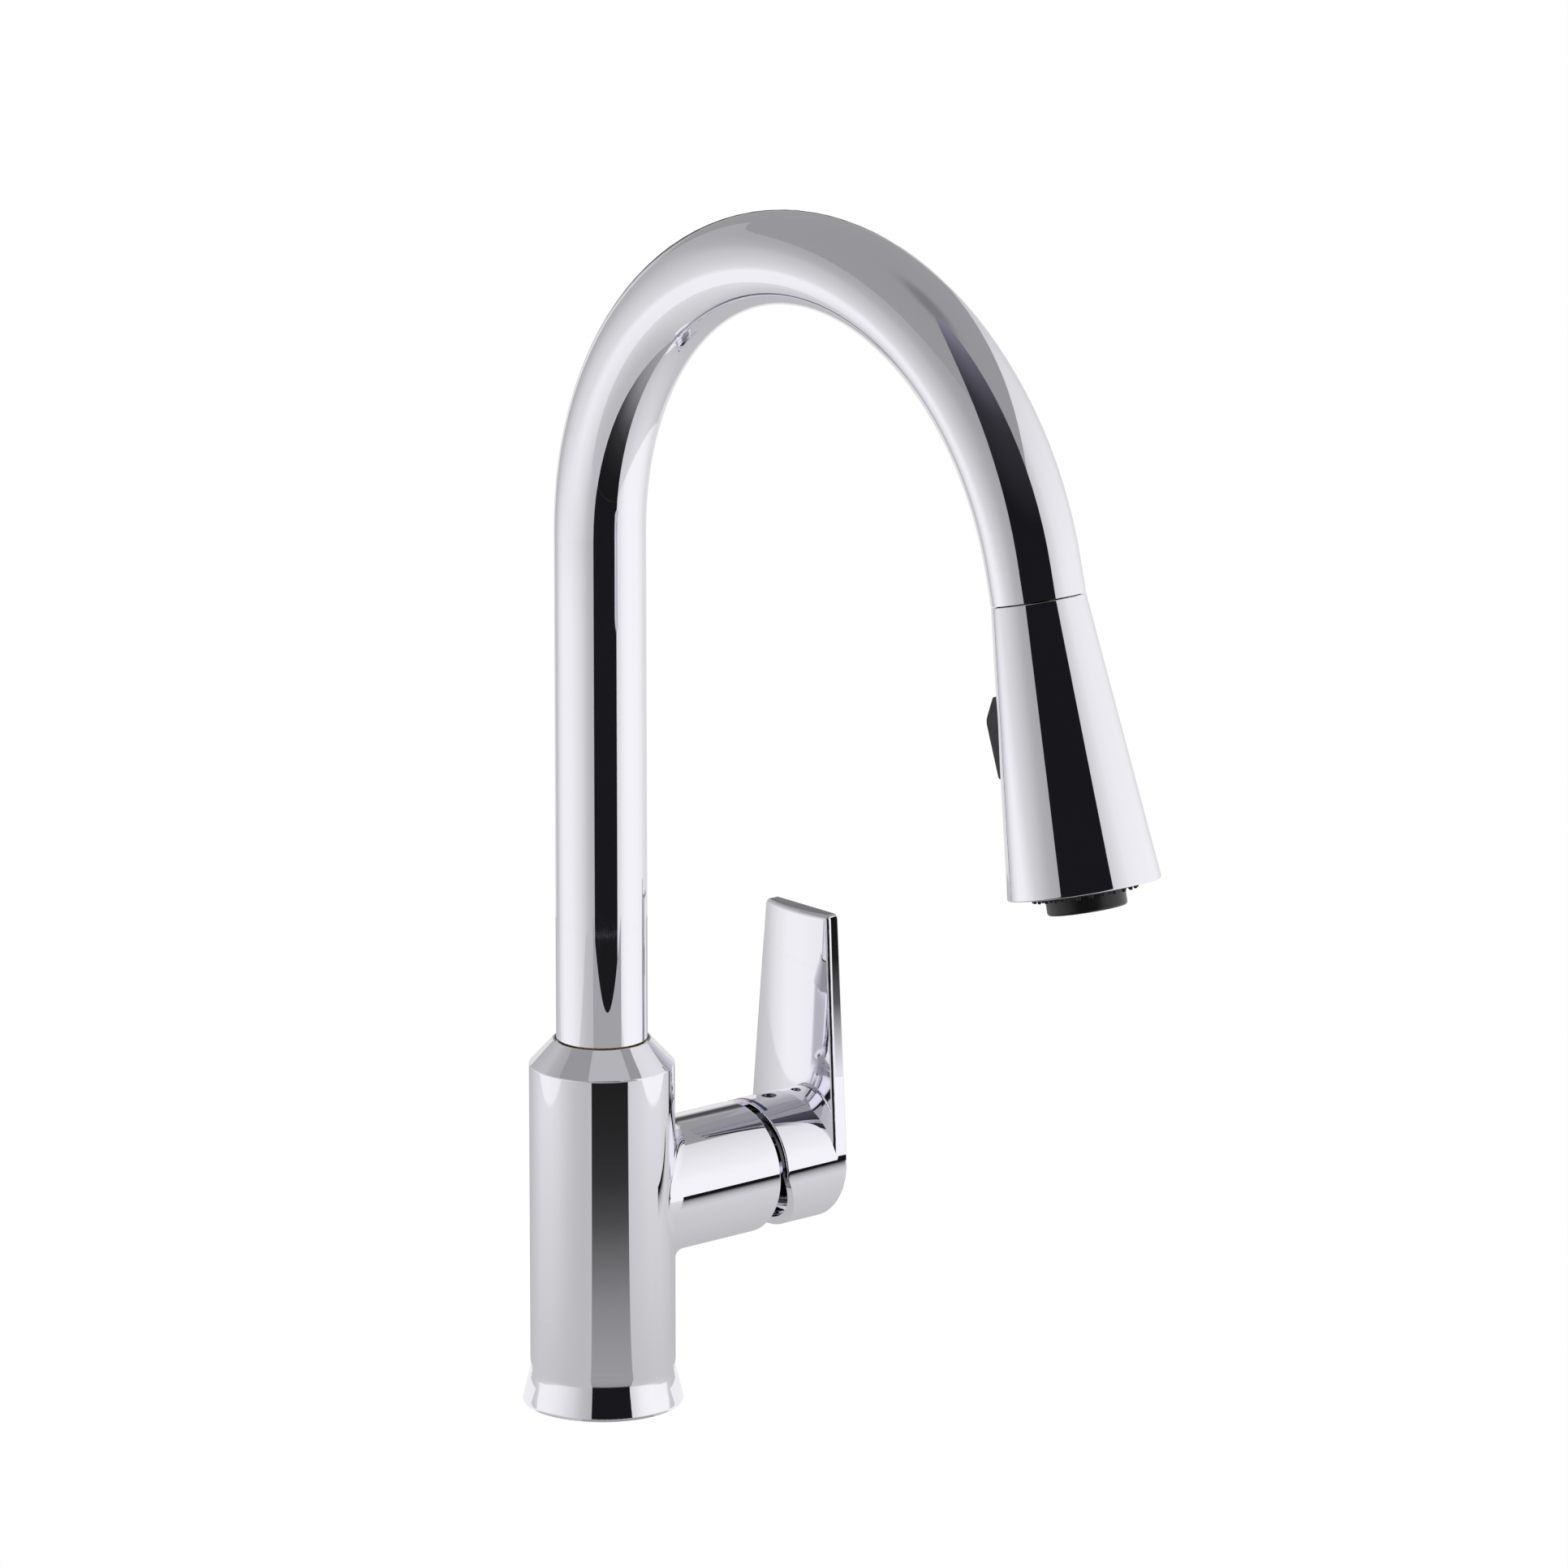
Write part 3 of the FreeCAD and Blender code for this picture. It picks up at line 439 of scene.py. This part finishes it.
def make_world():
    """Grey ceiling, darker straight overhead, over a near-white horizon that darkens towards the floor."""
    world = bpy.data.worlds.new("ceiling")
    bpy.context.scene.world = world
    world.use_nodes = True
    graph = Graph(world.node_tree)
    direction = graph.add("ShaderNodeTexCoord").outputs["Generated"]
    height = graph.add("ShaderNodeSeparateXYZ", {0: direction}).outputs["Z"]
    above = [(0, 168), (0.5, 168), (0.955, 166), (0.978, 158), (0.99, 142), (1, 136)]
    below = [(-1, 70), (-0.6, 96), (-0.25, 225), (-0.08, 240)]
    strength = graph.ramp(height, -1, 1, linear_stops(below + above))
    glow = graph.add("ShaderNodeBackground", {"Strength": strength}).outputs[0]
    graph.add("ShaderNodeOutputWorld", {"Surface": glow})


def make_camera():
    data = bpy.data.cameras.new("camera")
    data.lens = LENS
    data.sensor_width = SENSOR
    data.clip_start = 0.05
    data.clip_end = 200
    camera = bpy.data.objects.new("camera", data)
    turn = Matrix((CAMERA_RIGHT, CAMERA_UP, CAMERA_BACK)).transposed().to_4x4()
    camera.matrix_world = Matrix.Translation(CAMERA_AT) @ turn
    bpy.context.scene.collection.objects.link(camera)
    bpy.context.scene.camera = camera
    bpy.context.scene.view_settings.view_transform = "Standard"


# ---------------------------------------------------------------- finishes


def finish(name, build):
    """Principled material: build(graph) gives its sockets."""
    material = bpy.data.materials.new(name)
    material.use_nodes = True
    graph = Graph(material.node_tree)
    shader = graph.add("ShaderNodeBsdfPrincipled", build(graph))
    graph.add("ShaderNodeOutputMaterial", {"Surface": shader.outputs[0]})
    return material


def place_of(graph):
    return graph.add("ShaderNodeTexCoord").outputs["Object"]


def noise(graph, scale, detail=3.0, rough=0.5):
    inputs = {"Vector": place_of(graph), "Scale": scale, "Detail": detail, "Roughness": rough}
    return graph.add("ShaderNodeTexNoise", inputs).outputs[0]


def bumped(graph, height, strength, distance):
    inputs = {"Height": height, "Strength": strength, "Distance": distance}
    return graph.add("ShaderNodeBump", inputs).outputs["Normal"]


def tinted(graph, share, first, second):
    node = graph.add("ShaderNodeMix", {0: share, 6: (*first, 1), 7: (*second, 1)}, data_type="RGBA")
    return node.outputs[2]


def between(graph, value, low, high):
    """From low to high over the middle of a noise's range."""
    inputs = {"Value": value, "From Min": 0.3, "From Max": 0.7, "To Min": low, "To Max": high}
    return graph.add("ShaderNodeMapRange", inputs).outputs["Result"]


def chrome(graph):
    return {
        "Base Color": tinted(graph, noise(graph, 9.0), (0.912, 0.902, 0.962), (0.928, 0.918, 0.972)),
        "Metallic": 1.0,
        "Roughness": between(graph, noise(graph, 22.0, 4.0), 0.018, 0.045),
        "Normal": bumped(graph, noise(graph, 160.0, 2.0), 0.02, GRAIN_DEPTH),
    }


def painted_shade_chrome(graph):
    """Plating in the narrow gap behind the cap, where hardly any light gets in: its base colour is darkened as
    painted shade.
    """
    return {
        "Base Color": tinted(graph, noise(graph, 30.0), (0.085, 0.085, 0.095), (0.12, 0.12, 0.13)),
        "Metallic": 1.0,
        "Roughness": between(graph, noise(graph, 60.0), 0.10, 0.16),
    }


def turned_brass(graph):
    inputs = {"Vector": place_of(graph), "Scale": 700.0, "Distortion": 0.6}
    rings = graph.add("ShaderNodeTexWave", inputs, wave_type="BANDS", bands_direction="Z")
    return {
        "Base Color": tinted(graph, noise(graph, 60.0), (0.62, 0.44, 0.19), (0.74, 0.55, 0.27)),
        "Metallic": 1.0,
        "Roughness": between(graph, noise(graph, 240.0), 0.2, 0.34),
        "Normal": bumped(graph, rings.outputs[1], 0.25, GRAIN_DEPTH),
    }


def steel(graph):
    inputs = {"Vector": place_of(graph), "Scale": (900.0, 900.0, 60.0)}
    stretch = graph.add("ShaderNodeMapping", inputs).outputs[0]
    lines = graph.add("ShaderNodeTexNoise", {"Vector": stretch, "Scale": 1.0, "Detail": 2.0}).outputs[0]
    return {
        "Base Color": tinted(graph, lines, (0.46, 0.46, 0.47), (0.62, 0.62, 0.63)),
        "Metallic": 1.0,
        "Roughness": between(graph, lines, 0.22, 0.38),
        "Normal": bumped(graph, lines, 0.15, GRAIN_DEPTH),
    }


def moulded(colour, spread, rough, grain):
    """Moulded plastic or rubber with a fine grain."""

    def build(graph):
        speck = noise(graph, grain, 4.0, 0.6)
        darker = tuple(c * (1 - spread) for c in colour)
        lighter = tuple(min(1, c * (1 + spread)) for c in colour)
        return {
            "Base Color": tinted(graph, speck, darker, lighter),
            "Roughness": between(graph, noise(graph, grain / 3), rough - 0.06, rough + 0.06),
            "Normal": bumped(graph, speck, 0.3, GRAIN_DEPTH),
        }

    return build


def braid(graph):
    """Crossed yarns along the hose, by its UV map: turns around, and metres along when drawn out."""
    chart = graph.add("ShaderNodeUVMap", uv_map="yarn").outputs[0]
    parts = graph.add("ShaderNodeSeparateXYZ", {0: chart})
    turn, along = parts.outputs["X"], parts.outputs["Y"]
    first = graph.calc("SINE", graph.calc("MULTIPLY", graph.calc("ADD", turn, along), 2 * math.pi))
    second = graph.calc("SINE", graph.calc("MULTIPLY", graph.calc("SUBTRACT", turn, along), 2 * math.pi))
    over = graph.calc("MAXIMUM", first, second)
    raised = graph.calc("MULTIPLY_ADD", over, 0.5, 0.5)
    return {
        "Base Color": tinted(graph, raised, (0.10, 0.105, 0.115), (0.42, 0.43, 0.45)),
        "Roughness": between(graph, over, 0.35, 0.6),
        "Normal": bumped(graph, over, 0.5, 0.0003),
    }


def finishes():
    return {
        "chrome": finish("chrome_plate", chrome),
        "brass": finish("turned_brass", turned_brass),
        "steel": finish("brushed_steel", steel),
        "black_rubber": finish("black_rubber_grain", moulded((0.018, 0.018, 0.019), 0.3, 0.5, 1400.0)),
        "black_plastic": finish("black_plastic_grain", moulded((0.016, 0.016, 0.018), 0.2, 0.32, 900.0)),
        "grey_plastic": finish("grey_plastic_grain", moulded((0.30, 0.31, 0.32), 0.08, 0.4, 700.0)),
        "white_ceramic": finish("ceramic_body", moulded((0.86, 0.85, 0.82), 0.03, 0.14, 1200.0)),
        "magnet": finish("magnet_grain", moulded((0.10, 0.10, 0.11), 0.25, 0.45, 1600.0)),
        "hose_braid": finish("nylon_braid", braid),
        "red_enamel": finish("red_fill", moulded((0.36, 0.025, 0.045), 0.06, 0.36, 800.0)),
        "blue_enamel": finish("blue_fill", moulded((0.008, 0.03, 0.13), 0.06, 0.36, 800.0)),
    }


def node_slots():
    """CAD node to its material slot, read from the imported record."""
    return {row["node"]: row["material_slot"] for row in frame["record"]["subparts"]}


# ---------------------------------------------------------------- finer pieces


def pipe(name, outer, bore, material):
    """Closed wall between the outer rings and the bore's rings, both from the first end to the last."""
    rings = outer + list(reversed(bore))
    count = len(outer[0])
    points = [p for ring in rings for p in ring]
    faces = []
    for i in range(len(rings)):
        first = i * count
        second = (i + 1) % len(rings) * count
        for j in range(count):
            k = (j + 1) % count
            faces.append((first + j, first + k, second + k, second + j))
    piece = mesh_piece(name, points, faces, material, smooth=True)
    piece.data.set_sharp_from_angle(angle=SHARP_ANGLE)
    return piece


def ring_of(centre, ahead, count, radius):
    """Points around centre, across the direction ahead. radius(turn) takes a share of a turn."""
    points = []
    for i in range(count):
        angle = 2 * math.pi * i / count
        spoke = SIDEWAYS * math.cos(angle) + ahead.cross(SIDEWAYS) * math.sin(angle)
        points.append(centre + spoke * radius(i / count))
    return points


def hose_at(distance):
    """Centre and direction of the hose's line at a distance from its lower end."""
    if distance <= HOSE_RISE:
        return Vector((0, 0, ARC_Z - HOSE_RISE + distance)), Vector((0, 0, 1))
    turn = (distance - HOSE_RISE) / ARC_R
    centre = Vector((0, ARC_R * (math.cos(turn) - 1), ARC_Z + ARC_R * math.sin(turn)))
    return centre, Vector((0, -math.sin(turn), math.cos(turn)))


def braided(name, places, material):
    """Hose wall with raised yarns. places are pairs: distance along the hose, and the same once drawn out."""

    def skin(drawn):
        def radius(turn):
            one_way = math.sin(2 * math.pi * (YARNS * turn + drawn / YARN_STEP))
            other_way = math.sin(2 * math.pi * (YARNS * turn - drawn / YARN_STEP))
            return HOSE_R - YARN_DEPTH * (1 - max(one_way, other_way))

        return radius

    inside = places[:-1:BORE_EVERY] + [places[-1]]
    outer = [ring_of(*hose_at(distance), HOSE_SIDES, skin(drawn)) for distance, drawn in places]
    bore = [ring_of(*hose_at(distance), HOSE_SIDES, lambda turn: HOSE_BORE_R) for distance, _ in inside]
    piece = pipe(name, outer, bore, material)
    along = [drawn / YARN_STEP for _, drawn in places + list(reversed(inside))]
    chart = piece.data.uv_layers.new(name="yarn")
    for face in piece.data.polygons:
        ring, side = divmod(face.index, HOSE_SIDES)
        following = (ring + 1) % len(along)
        corners = ((ring, side), (ring, side + 1), (following, side + 1), (following, side))
        for loop, (row, turn) in zip(face.loop_indices, corners):
            chart.data[loop].uv = (YARNS * turn / HOSE_SIDES, along[row])
    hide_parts("spray_hose")
    return piece


def share_at(drawn):
    """Share of the drawn piece's rest length that lies this far along it once it is fully drawn out."""
    low, high = 0.0, 1.0
    for _ in range(HALVINGS):
        middle = (low + high) / 2
        moved = middle * DRAW_LENGTH + middle * middle * (3 - 2 * middle) * PULL
        low, high = (middle, high) if moved < drawn else (low, middle)
    return (low + high) / 2


def make_hose(material):
    """Spray hose in two pieces: the run that stays in the spout and the stretch that is drawn out of it."""
    end = HOSE_RISE + ARC_R * HOSE_END_TURN
    split = end - DRAW_LENGTH
    steps = round(split / RING_STEP)
    run = [(split * i / steps, split * i / steps) for i in range(steps + 1)]
    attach(braided("hose_run", run, material), "spout")
    steps = round((DRAW_LENGTH + PULL) / RING_STEP)
    draw = []
    for i in range(steps + 1):
        drawn = (DRAW_LENGTH + PULL) * i / steps
        draw.append((split + share_at(drawn) * DRAW_LENGTH, split + drawn))
    piece = braided("hose_draw", draw, material)
    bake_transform(piece)


def make_shank(material):
    """Threaded shank below the deck, in place of its plain CAD solid."""
    low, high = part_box("mounting_shank")
    rows = round((high.z - low.z) / THREAD_PITCH * THREAD_ROWS)
    up = Vector((0, 0, 1))

    def skin(height):
        def radius(turn):
            wave = 0.5 + 0.5 * math.cos(2 * math.pi * (height / THREAD_PITCH - turn))
            threaded = high.x - THREAD_DEPTH * (1 - wave)
            return min(threaded, high.x - THREAD_DEPTH) if abs(height) < RELIEF_HALF else threaded

        return radius

    heights = [low.z + (high.z - low.z) * i / rows for i in range(rows + 1)]
    outer = [ring_of(Vector((0, 0, z)), up, THREAD_SIDES, skin(z)) for z in heights]
    bore = [ring_of(Vector((0, 0, z)), up, THREAD_SIDES, lambda turn: SHANK_BORE_R) for z in (low.z, high.z)]
    piece = pipe("shank_thread", outer, bore, material)
    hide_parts("mounting_shank")
    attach(piece, "faucet_body")


make_camera()
make_world()
make_studio()
make_line_card()
make_neck_cards()
make_foot_cards()
make_lever_card()
make_backdrop()

looks = finishes()
slots = node_slots()
for node, piece in NODES.items():
    piece.data.materials.clear()
    piece.data.materials.append(looks[slots[node]])
# The bonnet's chrome gets a darkened base colour: painted shade for the gap behind the cap.
NODES["bonnet"].data.materials[0] = finish("painted_shade_chrome_plate", painted_shade_chrome)
make_shank(looks["brass"])
make_hose(looks["hose_braid"])
